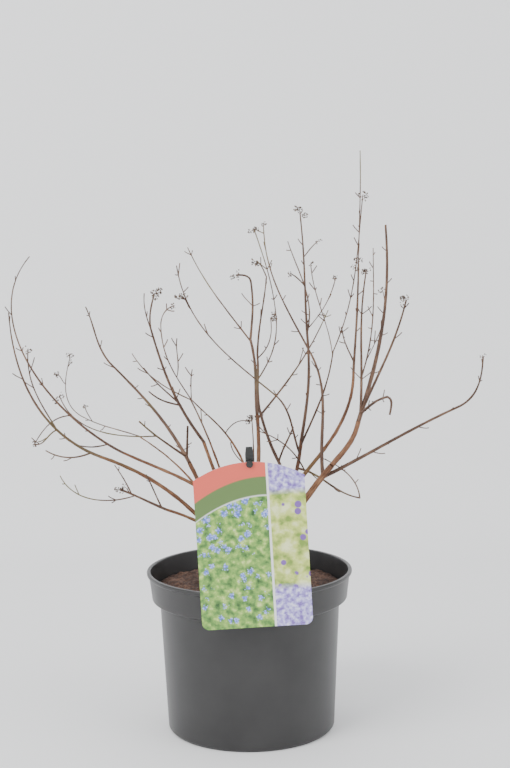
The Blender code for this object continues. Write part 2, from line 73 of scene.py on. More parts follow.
# %% [markdown]
# ## The camera
# A portrait taken with a longish lens, from the height of the top twigs and looking down a little. The eye
# stands 1.36 m in front of the pot's axis, so the perspective is mild, and the pot's rim shows as a flat
# ellipse.

# %% Camera
EYE = Vector((7.5, -1361, 482)) * MM
PITCH_DOWN = radians(7.11)
ROLL = radians(-0.83)
LENS_MM = 72.4
SENSOR_MM = 36

lens = bpy.data.cameras.new("camera")
lens.lens = LENS_MM
lens.sensor_width = SENSOR_MM
camera = in_scene("camera", lens)
camera.matrix_world = (Matrix.Translation(EYE) @ Matrix.Rotation(pi / 2 - PITCH_DOWN, 4, "X")
                       @ Matrix.Rotation(ROLL, 4, "Z"))
bpy.context.scene.camera = camera
print("camera at", [round(value, 3) for value in EYE])

# %% [markdown]
# ## The limbs as numbers
# Every stem is one bent, tapering limb. Its row says what it grows on, where the camera sees its tip on the
# upright plane through the pot's axis, how far behind that plane the tip is, and the clock angles at which
# the limb leaves and arrives. The tips were traced on a picture of the plant and turned into millimetres
# with this camera. The rows are the same as in the part's source, so plant and solids are one shape.

# %% Tables of stems and twigs, in millimetres and degrees
# Boughs: name, what it grows on, the foot's height on the stock and its turn round it from the right towards
# the back, or the share along a bough, thickness at the foot, then the tip's across, up and back, and the
# leave and arrive angles.
BOUGHS = (
    ("low_left", "stock", (11, 222), 3.3, -74, 200, -30, -15, -72),
    ("left", "stock", (17, 196), 4.3, -132, 249, -38, -35, -70),
    ("far_left", "stock", (30, 165), 3.9, -111, 252, 18, 5, -64),
    ("upper_left", "stock", (19, 135), 2.8, -97, 267, 55, -25, -57),
    ("fan", "stock", (25, 188), 4.5, -52, 242, -2, -30, -25),
    ("arch", "stock", (31, 222), 4.0, -39, 261, -24, -16, -18),
    ("inner", "stock", (30, 120), 2.8, -34, 262, 22, -12, -20),
    ("front", "stock", (29, 258), 2.8, -17, 265, -42, 12, -36),
    ("centre", "stock", (30, 80), 4.5, 9, 285, 30, 6, -4),
    ("fork", "stock", (32, 306), 3.7, 29, 239, -12, 22, 10),
    ("upright", "stock", (26, 25), 4.4, 48, 261, 14, 32, 6),
    ("tall", "stock", (19, 350), 4.4, 95, 322, -20, 6, 0),
    ("right", "stock", (13, 322), 6.3, 75, 238, -46, 34, 40),
    ("elbow", "right", 1.0, 4.7, 99, 277, -30, 42, 12),
)

# Masses of twigs: name, the bough, and its limbs. Each limb has the row it grows on, where 0 is the bough
# and 1 the first row, the share along that, the tip's across, up and back, the leave and arrive angles,
# and the seed head's size at its tip.
MASSES = (
    ("low_left", "low_left", (
        (0, 1.0, -115, 219, -42, -66, -68, 9),
        (1, 0.68, -168, 232, -66, -108, -24, 0),
        (1, 0.76, -119, 241, -22, -24, -34, 0),
        (1, 0.08, -91, 232, -50, -26, -26, 0))),
    ("left", "left", (
        (0, 1.0, -209, 379, -72, -68, -2, 0),
        (1, 0.28, -193, 346, -92, -30, 6, 7),
        (1, 0.05, -180, 255, -15, -112, -58, 0),
        (1, 0.28, -190, 261, -80, -108, -72, 5))),
    ("far_left", "far_left", (
        (0, 1.0, -189, 428, 40, -62, 42, 0),
        (1, 0.07, -150, 259, 5, -105, -78, 0),
        (1, 0.25, -190, 261, -5, -92, -150, 5))),
    ("upper_left", "upper_left", (
        (0, 1.0, -148, 286, 80, -70, -60, 0),
        (1, 1.0, -156, 338, 105, -58, 18, 10),
        (1, 0.8, -144, 294, 60, -30, -10, 6),
        (2, 0.6, -167, 323, 92, -55, -55, 7))),
    ("fan", "fan", (
        (0, 1.0, -121, 333, 115, -27, -44, 0),
        (1, 1.0, -141, 383, 150, -38, -24, 0),
        (1, 0.05, -96, 280, -45, -54, -46, 0),
        (3, 0.62, -166, 303, -100, -92, -20, 9),
        (1, 0.04, -53, 275, -22, 3, 3, 0))),
    ("arch", "arch", (
        (0, 1.0, -84, 363, -85, -36, -15, 0),
        (1, 1.0, -80, 394, -78, -8, 16, 11),
        (1, 0.97, -89, 394, -105, -18, 6, 0),
        (1, 0.36, -91, 328, -95, -46, -36, 0),
        (1, 0.34, -87, 307, -55, -78, -46, 0))),
    ("inner", "inner", (
        (0, 1.0, -50, 299, 45, -22, -27, 0),
        (1, 1.0, -101, 341, 95, -64, -30, 0))),
    ("front", "front", (
        (0, 1.0, -50, 300, -80, -36, -42, 0),
        (1, 1.0, -75, 366, -130, -33, 0, 0),
        (2, 1.0, -63, 383, -150, 2, 75, 6),
        (1, 0.08, 0, 279, -55, 30, 107, 8),
        (1, 0.98, -48, 326, -105, 0, 12, 0),
        (2, 0.3, -61, 354, -95, 16, 8, 0))),
    ("centre", "centre", (
        (0, 1.0, 4, 352, 70, -4, -14, 0),
        (1, 1.0, 5, 404, 98, 6, -8, 0),
        (2, 1.0, -8, 409, 100, -15, -95, 10),
        (1, 0.97, -50, 434, 150, -36, -24, 0))),
    ("cross_right", "centre", (
        (0, 0.97, 73, 377, 130, 40, 24, 0),)),
    ("fork", "fork", (
        (0, 1.0, 11, 290, -15, -26, -14, 0),
        (1, 1.0, 10, 338, -8, -8, -4, 0),
        (2, 1.0, 19, 407, 8, 2, 6, 0),
        (3, 1.0, 10, 421, 14, -25, -60, 9),
        (2, 0.55, 27, 372, -38, 34, -4, 9),
        (5, 1.0, 9, 448, -72, -5, -18, 9),
        (2, 0.95, 22, 371, 30, 52, -8, 0),
        (1, 0.05, 41, 273, -32, 16, 22, 0))),
    ("upright", "upright", (
        (0, 1.0, 55, 345, 20, 10, -3, 0),
        (1, 1.0, 49, 463, 26, -4, -6, 13),
        (2, 0.09, 38, 438, 70, 14, -18, 0),
        (2, 0.68, 65, 438, 34, 42, 55, 6),
        (2, 0.45, 40, 410, 10, -40, -60, 6),
        (3, 0.05, 80, 406, 60, 42, 14, 5))),
    ("leaning", "upright", (
        (0, 0.96, 77, 340, -28, 24, 8, 0),
        (1, 1.0, 104, 476, -62, 24, 6, 8),
        (1, 0.97, 58, 418, -5, -6, -4, 4))),
    ("crossing", "upright", (
        (0, 0.9, 23, 304, -30, -20, -52, 0),
        (1, 1.0, -60, 418, -110, -50, -8, 0),
        (2, 0.72, -57, 392, -95, -44, -62, 9))),
    ("tall", "tall", (
        (0, 1.0, 100, 417, -16, 4, 1, 11),
        (1, 0.95, 102, 516, -42, 1, -1, 0),
        (1, 0.08, 85, 361, -60, -25, -6, 0))),
    ("cluster", "elbow", (
        (0, 1.0, 124, 451, 75, 18, -4, 0),
        (1, 0.03, 107, 412, 25, 4, 10, 8),
        (2, 0.25, 113, 431, 125, 18, 0, 0),
        (3, 0.12, 121, 394, 135, 26, -16, 7),
        (1, 0.05, 142, 385, -85, 24, 14, 9),
        (1, 0.04, 125, 299, -85, 50, 78, 0),
        (6, 1.0, 127, 283, -95, 110, 190, 0))),
    ("wide", "right", (
        (0, 0.88, 190, 290, -30, 64, 66, 0),
        (1, 1.0, 210, 334, -22, 62, 2, 5))),
    ("steep", "right", (
        (0, 0.9, 55, 343, 50, -6, -30, 0),
        (1, 1.0, 17, 454, 110, -27, 0, 5))),
    ("low_right", "upright", (
        (0, 0.78, 100, 208, -62, 102, 100, 0),
        (1, 1.0, 68, 244, -20, -6, -64, 0),
        (1, 0.1, 10, 270, -50, -25, -70, 0))),
    ("short", "stock", (
        (0, (31, 282), 4, 284, -24, 3, -4, 7),
        (1, 0.55, -15, 260, -50, -30, -6, 0))),
)
print("boughs:", len(BOUGHS), "masses:", len(MASSES))

# %% [markdown]
# ## One limb
# A stem is thick at the foot, thin at the tip and bent in one sweep. A Bezier curve with a thickness along
# it says just that. The curve is planned in the camera's view and then slid along the line of sight to its
# depth, so it keeps its place in the picture from the front and still fills the crown from other sides.

# %% Limb class
HANDLE = 0.38
TAPER = 0.01
THINNEST = 0.9 * MM
MEASURE_STEPS = 16
FEWEST_STEPS = 3
SAMPLE_PLACE = Vector((0, 300, 50)) * MM


class Limb:
    """One tapering limb through the crown, in sight places (across, up, back)."""

    def __init__(self, start, tip, leave, arrive, foot_thick):
        self.start = start
        self.tip = tip
        chord = hypot(tip.x - start.x, tip.y - start.y)
        third = (tip.z - start.z) / 3
        reach = chord * HANDLE
        self.leaving = start + Vector((sin(leave) * reach, cos(leave) * reach, third))
        self.arriving = tip - Vector((sin(arrive) * reach, cos(arrive) * reach, third))
        self.length = self.measure()
        self.foot_thick = foot_thick
        self.tip_thick = max(THINNEST, foot_thick - self.length * TAPER)

    def place(self, share):
        rest = 1 - share
        return (self.start * rest ** 3 + self.leaving * 3 * rest ** 2 * share
                + self.arriving * 3 * rest * share ** 2 + self.tip * share ** 3)

    def heading(self, share):
        rest = 1 - share
        return ((self.leaving - self.start) * rest ** 2 + (self.arriving - self.leaving) * 2 * rest * share
                + (self.tip - self.arriving) * share ** 2).normalized()

    def measure(self):
        marks = [self.place(i / MEASURE_STEPS) for i in range(MEASURE_STEPS + 1)]
        return sum((b - a).length for a, b in zip(marks, marks[1:]))

    def thick(self, share):
        return self.foot_thick + (self.tip_thick - self.foot_thick) * share

    def samples(self, step):
        count = max(FEWEST_STEPS, ceil(self.length / step))
        return [(self.place(i / count), self.thick(i / count) / 2) for i in range(count + 1)]


def slide(place):
    """A sight place as a point in space."""
    seen = Vector((place.x, 0, place.y))
    return EYE + (seen - EYE) * (1 - place.z / EYE.y)


print("the crown's middle, 50 mm back:", [round(value, 4) for value in slide(SAMPLE_PLACE)])

# %% [markdown]
# ## Growing the limbs
# Each row of the tables becomes one limb. A bough starts beside the woody foot or on another bough, and a
# twig starts on its parent, with about two thirds of the parent's thickness there unless it carries it on.

# %% Grow the boughs and the masses
GAP = 0.35 * MM
SOIL_TOP = 133 * MM
STOCK_RADIUS = 8.5 * MM
STOCK_TWIG_THICK = 2.2 * MM
SIDE_SHARE = 0.65


def stock_start(height, turn, radius):
    """A foot beside the stock."""
    away = STOCK_RADIUS + GAP + radius
    return Vector((cos(turn) * away, SOIL_TOP + height, sin(turn) * away))


def grow_boughs():
    boughs = {}
    for name, on, at, thick, across, up, back, leave, arrive in BOUGHS:
        tip = Vector((across, up, back)) * MM
        thick = thick * MM
        if on == "stock":
            height, turn = at
            start = stock_start(height * MM, radians(turn), thick / 2)
        else:
            start = boughs[on].place(at)
        boughs[name] = Limb(start, tip, radians(leave), radians(arrive), thick)
    return boughs


def grow_mass(bough, rows):
    """The limbs of one mass, grown straight on from their bough, and its seed heads as (limb, size)."""
    limbs = [bough]
    heads = []
    for on, at, across, up, back, leave, arrive, head in rows:
        tip = Vector((across, up, back)) * MM
        parent = limbs[on]
        if parent is None:
            height, turn = at
            thick = STOCK_TWIG_THICK
            start = stock_start(height * MM, radians(turn), thick / 2)
        else:
            thick = parent.tip_thick if at == 1 else max(THINNEST, parent.thick(at) * SIDE_SHARE)
            start = parent.place(at)
        limbs.append(Limb(start, tip, radians(leave), radians(arrive), thick))
        if head:
            heads.append((limbs[-1], head * MM))
    return limbs[1:], heads


boughs = grow_boughs()
masses = {name: grow_mass(boughs.get(bough), rows) for name, bough, rows in MASSES}
main_limbs = {name: limbs for name, (limbs, _) in masses.items()}
seed_heads = [head for _, heads in masses.values() for head in heads]
print("stems:", len(boughs), "twigs:", sum(len(limbs) for limbs in main_limbs.values()),
      "seed heads:", len(seed_heads))

# %% [markdown]
# ## Twiglets
# Bluebeard carries its side twigs in opposite pairs, each pair turned a quarter from the last. Winter kills
# most of them back to a few millimetres. A seeded rule deals them out, so every run gives the same plant.

# %% Twiglet rule
SEED = 11
TWIGLET_SPACING = 17 * MM
TWIGLET_CHANCE = 0.42
TWIGLET_LENGTHS = (4 * MM, 17 * MM)
TWIGLET_KEPT = (0.4, 1)
TWIGLET_THICK = 0.95 * MM
TWIGLET_SPREAD = (radians(30), radians(58))
TWIGLET_BEND = 0.8
TIP_MARGIN = 0.5

rng = Random(SEED)


def grow_twiglets(limb):
    """Small side twigs in pairs at evenly spaced nodes, with many of them left out."""
    twiglets = []
    nodes = int(limb.length / TWIGLET_SPACING)
    turn = rng.uniform(0, pi)
    for node in range(1, nodes + 1):
        share = node / (nodes + TIP_MARGIN)
        turn += pi / 2
        for side in (0, pi):
            length = rng.uniform(*TWIGLET_LENGTHS) * rng.uniform(*TWIGLET_KEPT)
            spread = rng.uniform(*TWIGLET_SPREAD)
            if rng.random() > TWIGLET_CHANCE:
                continue
            heading = limb.heading(share)
            across = heading.orthogonal().normalized()
            across.rotate(Matrix.Rotation(turn + side, 3, heading))
            start = limb.place(share)
            tip = start + (heading * cos(spread) + across * sin(spread)) * length
            leave = atan2(tip.x - start.x, tip.y - start.y)
            twiglets.append(Limb(start, tip, leave, leave * TWIGLET_BEND, TWIGLET_THICK))
    return twiglets


twiglets = [twiglet for limbs in main_limbs.values() for limb in limbs for twiglet in grow_twiglets(limb)]
print("twiglets:", len(twiglets))

# %% [markdown]
# ## Building node trees in code
# Bark, clusters and finishes are all node trees here. One helper adds a node with its settings and wires its
# inputs, so a tree reads as a short recipe. Three more stand for the sums and patterns that come back most.

# %% Helpers for nodes
def add(tree, kind, settings=None, **inputs):
    """A node with its settings, and its inputs as values or as links from other sockets."""
    node = tree.nodes.new(kind)
    for key, value in (settings or {}).items():
        setattr(node, key, value)
    for key, value in inputs.items():
        target = node.inputs[int(key[1:])] if key[1:].isdigit() else node.inputs[key.replace("_", " ")]
        if isinstance(value, bpy.types.NodeSocket):
            tree.links.new(value, target)
        else:
            target.default_value = value
    return node


def maths(tree, kind, first, second=0.0):
    """The result of one sum on two values or sockets."""
    return add(tree, "ShaderNodeMath", {"operation": kind}, _0=first, _1=second).outputs[0]


def noise_fac(tree, vector, settings):
    """A noise read at a place."""
    return add(tree, "ShaderNodeTexNoise", Vector=vector, **settings).outputs["Fac"]


def bark_spot(tree, along, around, stretch):
    """A place for a noise to read, from the way along a limb and the share of a turn round it."""
    angle = maths(tree, "MULTIPLY", around, 2 * pi)
    return add(tree, "ShaderNodeCombineXYZ", X=maths(tree, "COSINE", angle), Y=maths(tree, "SINE", angle),
               Z=maths(tree, "MULTIPLY", along, stretch)).outputs["Vector"]


print("node helpers ready")

# %% [markdown]
# ## Geometry node trees
# A geometry tree is a group with named inputs, and a modifier fills them in. A modifier's inputs are set by
# identifier and not by name, so one helper finds the identifier. The result is read back as a plain mesh,
# because the finished piece has to be real faces.

# %% Helpers for geometry node trees
def socket_key(group, name):
    """The identifier of a node group's named input."""
    return next(item.identifier for item in group.interface.items_tree
                if item.item_type == "SOCKET" and item.in_out == "INPUT" and item.name == name)


def new_group(name, inputs):
    """An empty geometry node group with a geometry input and the named inputs."""
    group = bpy.data.node_groups.new(name, "GeometryNodeTree")
    for label, kind in (("Geometry", "NodeSocketGeometry"), *inputs):
        group.interface.new_socket(label, in_out="INPUT", socket_type=kind)
    group.interface.new_socket("Geometry", in_out="OUTPUT", socket_type="NodeSocketGeometry")
    return group, group.nodes.new("NodeGroupInput").outputs, group.nodes.new("NodeGroupOutput").inputs


def close_tree(group, result, geometry, material):
    """End a tree: the geometry gets its material and is handed on."""
    finish = add(group, "GeometryNodeSetMaterial", Geometry=geometry, Material=material)
    group.links.new(finish.outputs["Geometry"], result["Geometry"])


def grown_mesh(name, source, group, values):
    """The source object's evaluated result as a plain mesh object, with the source removed."""
    modifier = source.modifiers.new("Grow", "NODES")
    modifier.node_group = group
    for label, value in values.items():
        modifier[socket_key(group, label)] = value
    source.update_tag()
    depsgraph = bpy.context.evaluated_depsgraph_get()
    mesh = bpy.data.meshes.new_from_object(source.evaluated_get(depsgraph))
    bpy.data.objects.remove(source, do_unlink=True)
    mesh.name = name
    return in_scene(name, mesh)


print("geometry helpers ready")

# %% [markdown]
# ## Bark in relief
# Young bluebeard bark is thin, reddish brown and finely ridged lengthwise. The node tree runs a tube along
# every limb, and then pushes the tube's skin in and out by a noise that is stretched along the limb. Two
# attributes go with it: how far along the limb a point is, and how far round. The bark's colours read them,
# so the streaks follow each bend.

# %% Node tree: tubes with ridged bark
RIDGE_STRETCH = 60.0
RIDGE_NOISE = {"Scale": 2.2, "Detail": 3.0}
KNOT_NOISE = {"Scale": 120.0, "Detail": 1.0}
NOISE_MIDDLE = 0.5


def noise_push(tree, vector, settings, depth):
    """A noise about its middle value, times a depth."""
    swing = maths(tree, "SUBTRACT", noise_fac(tree, vector, settings), NOISE_MIDDLE)
    return maths(tree, "MULTIPLY", swing, depth)


def stored(tree, geometry, name, value):
    """The geometry with a number kept at each of its points."""
    return add(tree, "GeometryNodeStoreNamedAttribute", {"data_type": "FLOAT", "domain": "POINT"},
               Geometry=geometry, Name=name, Value=value).outputs["Geometry"]


def bark_tubes():
    group, given, result = new_group("bark_tubes", (
        ("Sides", "NodeSocketInt"), ("Relief", "NodeSocketFloat"), ("Knots", "NodeSocketFloat"),
        ("Bark", "NodeSocketMaterial")))
    length = add(group, "GeometryNodeSplineParameter").outputs["Length"]
    line = stored(group, given["Geometry"], "along", length)
    circle = add(group, "GeometryNodeCurvePrimitiveCircle", Resolution=given["Sides"], Radius=1.0)
    turn = add(group, "GeometryNodeSplineParameter").outputs["Factor"]
    ring = stored(group, circle.outputs["Curve"], "around", turn)
    radius = add(group, "GeometryNodeInputRadius").outputs["Radius"]
    tube = add(group, "GeometryNodeCurveToMesh", Curve=line, Profile_Curve=ring, Scale=radius,
               Fill_Caps=True)
    along, around = (add(group, "GeometryNodeInputNamedAttribute", {"data_type": "FLOAT"},
                         Name=name).outputs["Attribute"] for name in ("along", "around"))
    ridges = noise_push(group, bark_spot(group, along, around, RIDGE_STRETCH), RIDGE_NOISE, given["Relief"])
    place = add(group, "GeometryNodeInputPosition").outputs["Position"]
    knots = noise_push(group, place, KNOT_NOISE, given["Knots"])
    normal = add(group, "GeometryNodeInputNormal").outputs["Normal"]
    offset = add(group, "ShaderNodeVectorMath", {"operation": "SCALE"}, Vector=normal,
                 Scale=maths(group, "ADD", ridges, knots))
    moved = add(group, "GeometryNodeSetPosition", Geometry=tube.outputs["Mesh"],
                Offset=offset.outputs["Vector"])
    smooth = add(group, "GeometryNodeSetShadeSmooth", Geometry=moved.outputs["Geometry"])
    close_tree(group, result, smooth.outputs["Geometry"], given["Bark"])
    return group


bark_tree = bark_tubes()
print("nodes in the bark's tree:", len(bark_tree.nodes))

# %% [markdown]
# ## Helpers for finishes
# Every finish here starts from Blender's Principled shader. These helpers cover what the finishes share: a
# new material, a colour ramp, a bump, a mix of two patterns, and one colour laid over another.

# %% Helpers for materials
def new_material(name, roughness):
    """A new material, with its node tree and its shader."""
    made = bpy.data.materials.new(name)
    made.use_nodes = True
    shader = made.node_tree.nodes["Principled BSDF"]
    shader.inputs["Roughness"].default_value = roughness
    return made, made.node_tree, shader


def ramp(tree, factor, stops):
    """A colour ramp through (place, colour) stops."""
    node = add(tree, "ShaderNodeValToRGB", Fac=factor)
    while len(node.color_ramp.elements) > 1:
        node.color_ramp.elements.remove(node.color_ramp.elements[0])
    for i, (at, colour) in enumerate(stops):
        element = node.color_ramp.elements[0] if i == 0 else node.color_ramp.elements.new(at)
        element.position = at
        element.color = (*colour, 1)
    return node.outputs["Color"]


def bump_from(tree, shader, height, settings):
    """Let a height pattern tilt the light on the surface."""
    bump = add(tree, "ShaderNodeBump", Height=height, **settings)
    tree.links.new(bump.outputs["Normal"], shader.inputs["Normal"])


def blend(tree, amount, first, second):
    """A mix of two values."""
    return add(tree, "ShaderNodeMix", {"data_type": "FLOAT"}, _0=amount, _2=first, _3=second).outputs[0]


def lay_over(tree, amount, base, colour):
    """A colour, or a socket that gives one, laid over the base."""
    return add(tree, "ShaderNodeMix", {"data_type": "RGBA"}, _0=amount, _6=base,
               _7=(*colour, 1) if isinstance(colour, tuple) else colour).outputs[2]


print("material helpers ready")

# %% [markdown]
# ## Bark colours
# The bark has lengthwise streaks in its own tones, is blotched over the crown, and is a little green on some
# stretches. The same streak noise also drives the bump, so the bark is darker in its furrows, which is
# painted shade, and lighter on its ridges, which is painted highlight. A colour ramp reads a mix of the
# streaks and the blotches, and a broad noise lets the green through here and there. The stems are redder
# than the twigs, so they take the same tree with other colours.

# %% Bark material
STREAK_STRETCH = 55.0
STREAK_NOISE = {"Scale": 2.6, "Detail": 5.0}
BLOTCH_NOISE = {"Scale": 38.0, "Detail": 3.0}
BLOTCH_SHARE = 0.45
BARK_STOPS = (0.3, 0.5, 0.68)
GREEN_NOISE = {"Scale": 11.0, "Detail": 1.0}
GREEN_FROM, GREEN_TO, GREEN_MOST = 0.6, 0.72, 0.75
BARK_ROUGHNESS = 0.75
BARK_BUMP = {"Strength": 0.35, "Distance": 0.4 * MM}
# Each set runs from dark to light along the streak noise. That noise is the bark's grain, and it also drives
# the bump, so the dark stops are painted shade in the furrows and the light stops are painted highlight on
# the ridges.
STEM_COLOURS = ((0.04, 0.016, 0.008), (0.15, 0.062, 0.028), (0.33, 0.17, 0.085))
STEM_GREEN = (0.2, 0.14, 0.045)
TWIG_COLOURS = ((0.03, 0.015, 0.01), (0.1, 0.05, 0.03), (0.24, 0.14, 0.085))
TWIG_GREEN = (0.18, 0.15, 0.05)


def bark_material(name, colours, green):
    made, tree, shader = new_material(name, BARK_ROUGHNESS)
    along, around = (add(tree, "ShaderNodeAttribute", {"attribute_name": attribute}).outputs["Fac"]
                     for attribute in ("along", "around"))
    # The streaks are the bark's grain. The same noise drives the bump below, so they also paint shade in the
    # furrows and a highlight on the ridges.
    streaks = noise_fac(tree, bark_spot(tree, along, around, STREAK_STRETCH), STREAK_NOISE)
    place = add(tree, "ShaderNodeTexCoord").outputs["Object"]
    mixed = blend(tree, BLOTCH_SHARE, streaks, noise_fac(tree, place, BLOTCH_NOISE))
    amount = add(tree, "ShaderNodeMapRange", Value=noise_fac(tree, place, GREEN_NOISE), From_Min=GREEN_FROM,
                 From_Max=GREEN_TO, To_Max=GREEN_MOST).outputs["Result"]
    tinted = lay_over(tree, amount, ramp(tree, mixed, zip(BARK_STOPS, colours)), green)
    tree.links.new(tinted, shader.inputs["Base Color"])
    bump_from(tree, shader, streaks, BARK_BUMP)
    return made


stem_bark = bark_material("stem_bark", STEM_COLOURS, STEM_GREEN)
twig_bark = bark_material("twig_bark", TWIG_COLOURS, TWIG_GREEN)
print("bark finishes:", stem_bark.name, twig_bark.name)

# %% [markdown]
# ## Stems, twigs and twiglets
# The limbs become curves of straight steps with a radius at each point, and the node tree turns them into
# bark. The stems are one piece and the twigs one piece for each mass. The twiglets come last and have fewer
# sides, because hundreds of them must stay light.

# %% Grow the bark
STEM_STEP = 2.5 * MM
TWIG_STEP = 3 * MM
STEM_BARK = {"Sides": 14, "Relief": 0.9 * MM, "Knots": 0.5 * MM, "Bark": stem_bark}
TWIG_BARK = {"Sides": 8, "Relief": 0.4 * MM, "Knots": 0.3 * MM, "Bark": twig_bark}
TWIGLET_BARK = {"Sides": 5, "Relief": 0.2 * MM, "Knots": 0.0, "Bark": twig_bark}


def line_object(name, lines):
    """A curve object with one straight-segment spline for each line of (place, radius) samples."""
    curve = bpy.data.curves.new(name, "CURVE")
    curve.dimensions = "3D"
    for line in lines:
        spline = curve.splines.new("POLY")
        spline.points.add(len(line) - 1)
        for point, (place, radius) in zip(spline.points, line):
            point.co = (*slide(place), 1)
            point.radius = radius
    return in_scene(name, curve)


def grow_bark(name, limbs, step, values):
    lines = [limb.samples(step) for limb in limbs]
    made = grown_mesh(name, line_object(name, lines), bark_tree, values)
    print(name, "faces:", len(made.data.polygons))
    return made


stems = grow_bark("stems", boughs.values(), STEM_STEP, STEM_BARK)
twigs = {name: grow_bark(f"twig_{name}", limbs, TWIG_STEP, TWIG_BARK) for name, limbs in main_limbs.items()}
fine_twigs = grow_bark("fine_twigs", twiglets, TWIG_STEP, TWIGLET_BARK)

# %% [markdown]
# ## A lathe
# The woody foot and the pot are both round. A lathe turns one outline about the upright axis, and a helper
# rounds the outline's corners first, because no moulded or grown edge is quite sharp.

# %% Lathe and rounded outline
TINY = 0.01 * MM
CORNER_MOST = 0.45


def turned(name, profile, steps):
    """A smooth solid of revolution about Z from (radius, height) points."""
    bm = bmesh.new()
    corners = [bm.verts.new((radius, 0, height)) for radius, height in profile]
    edges = [bm.edges.new(pair) for pair in zip(corners, corners[1:])]
    bmesh.ops.spin(bm, geom=corners + edges, cent=(0, 0, 0), axis=(0, 0, 1), angle=2 * pi, steps=steps,
                   use_merge=True)
    bmesh.ops.remove_doubles(bm, verts=bm.verts, dist=TINY)
    bmesh.ops.recalc_face_normals(bm, faces=bm.faces)
    for face in bm.faces:
        face.smooth = True
    return mesh_in_scene(name, bm)


def rounded(profile, reach, arcs):
    """The profile with each inner corner cut into a short arc."""
    result = [profile[0]]
    for before, corner, after in zip(profile, profile[1:], profile[2:]):
        middle = Vector(corner)
        back, ahead = Vector(before) - middle, Vector(after) - middle
        cut = min(reach, back.length * CORNER_MOST, ahead.length * CORNER_MOST)
        first, last = middle + back.normalized() * cut, middle + ahead.normalized() * cut
        for i in range(arcs + 1):
            share = i / arcs
            rest = 1 - share
            result.append(tuple(first * rest ** 2 + middle * 2 * share * rest + last * share ** 2))
    result.append(profile[-1])
    return result


print("lathe and rounding ready")

# %% [markdown]
# ## The stock
# All the stems leave a short woody foot, pruned back over the years. It is a lathe profile with lumps, and
# it shares the bark of the stems.

# %% Stock
STOCK_HEIGHT = 36 * MM
STOCK_CROWN = ((6 * MM, 1 * MM), (8.2 * MM, 5 * MM))
STOCK_WAIST = 18 * MM
STOCK_NECK = (9.2 * MM, 8 * MM)
STOCK_FLARE_RADIUS = 15 * MM
STOCK_ROUND = 4 * MM
STOCK_ARCS = 5
STOCK_STEPS = 48
STOCK_LUMPS = 160
STOCK_LUMP_DEPTH = 0.16

stock_profile = [(0, SOIL_TOP + STOCK_HEIGHT)]
stock_profile += [(radius, SOIL_TOP + STOCK_HEIGHT - drop) for radius, drop in STOCK_CROWN]
stock_profile += [(STOCK_RADIUS, SOIL_TOP + STOCK_WAIST), (STOCK_NECK[0], SOIL_TOP + STOCK_NECK[1]),
                  (STOCK_FLARE_RADIUS, SOIL_TOP), (0, SOIL_TOP)]
stock = turned("woody_foot", rounded(stock_profile, STOCK_ROUND, STOCK_ARCS), STOCK_STEPS)
for vert in stock.data.vertices:
    away = Vector((vert.co.x, vert.co.y, 0))
    vert.co += away * noise.noise(vert.co * STOCK_LUMPS) * STOCK_LUMP_DEPTH
stock.data.materials.append(stem_bark)
print("woody foot faces:", len(stock.data.polygons))

# %% [markdown]
# ## The pot
# A nursery pot is one thin shell: a rolled lip, a band that narrows a little, a step, and a tapering wall.
# Its profile is turned on the lathe, so the wall is round and even. The outline runs up inside the pot, over
# the lip and down the outside.

# %% Pot
POT_HEIGHT = 145 * MM
RIM_RADIUS = 92.4 * MM
LIP_HEIGHT = 3.2 * MM
LIP_TOP_INSET, LIP_TOP_DROP = 0.5 * MM, 1 * MM
LIP_FOOT_INSET, LIP_FOOT_DROP = 0.3 * MM, 0.8 * MM
BAND_TOP = 90.4 * MM
BAND_FOOT = 87.8 * MM
BAND_Z = 120 * MM
BAND_FLARE, BAND_FLARE_HEIGHT = 0.6 * MM, 6 * MM
STEP_INSET, STEP_DROP = 1.2 * MM, 1 * MM
LEDGE_Z = 118 * MM
WALL_TOP = 80.6 * MM
WALL_EASE = 0.2 * MM
BASE_RADIUS = 75.2 * MM
BASE_ROUND = 2 * MM
BASE_EASE, BASE_LIFT = 0.15 * MM, 0.5 * MM
WALL = 1.5 * MM
FLOOR = 2 * MM
POT_ROUND = 1 * MM
POT_ARCS = 4
POT_STEPS = 192

pot_inside = [(0, FLOOR), (BASE_RADIUS - WALL, FLOOR), (WALL_TOP - WALL, LEDGE_Z),
              (BAND_FOOT - WALL, BAND_Z), (BAND_TOP - WALL, POT_HEIGHT)]
pot_lip = [(RIM_RADIUS - LIP_TOP_INSET, POT_HEIGHT), (RIM_RADIUS, POT_HEIGHT - LIP_TOP_DROP),
           (RIM_RADIUS - LIP_FOOT_INSET, POT_HEIGHT - LIP_HEIGHT),
           (BAND_TOP, POT_HEIGHT - LIP_HEIGHT - LIP_FOOT_DROP)]
pot_outside = [(BAND_FOOT + BAND_FLARE, BAND_Z + BAND_FLARE_HEIGHT), (BAND_FOOT, BAND_Z),
               (BAND_FOOT - STEP_INSET, BAND_Z - STEP_DROP), (WALL_TOP + WALL_EASE, LEDGE_Z - WALL),
               (BASE_RADIUS + BASE_EASE, BASE_ROUND + BASE_LIFT), (BASE_RADIUS - BASE_ROUND, 0), (0, 0)]
pot = turned("nursery_pot", rounded(pot_inside + pot_lip + pot_outside, POT_ROUND, POT_ARCS), POT_STEPS)
print("pot faces:", len(pot.data.polygons))

# %% [markdown]
# ## Moulded plastic
# Pot plastic is nearly one colour, but it came out of the mould with faint flow marks, and its skin has a
# fine grain. A broad noise varies the colour and the roughness together, and a fine one gives the bump. The
# label's back and the stake take the same tree in their own colours.

# %% Plastic material
FLOW_NOISE = {"Scale": 22.0, "Detail": 4.0}
GRAIN_NOISE = {"Scale": 900.0, "Detail": 2.0}
GRAIN_BUMP = {"Strength": 0.12, "Distance": 0.2 * MM}
FLOW_STOPS = (0.3, 0.7)
ROUGHNESS_SWING = 0.08
POT_BLACK = (0.028, 0.027, 0.027)


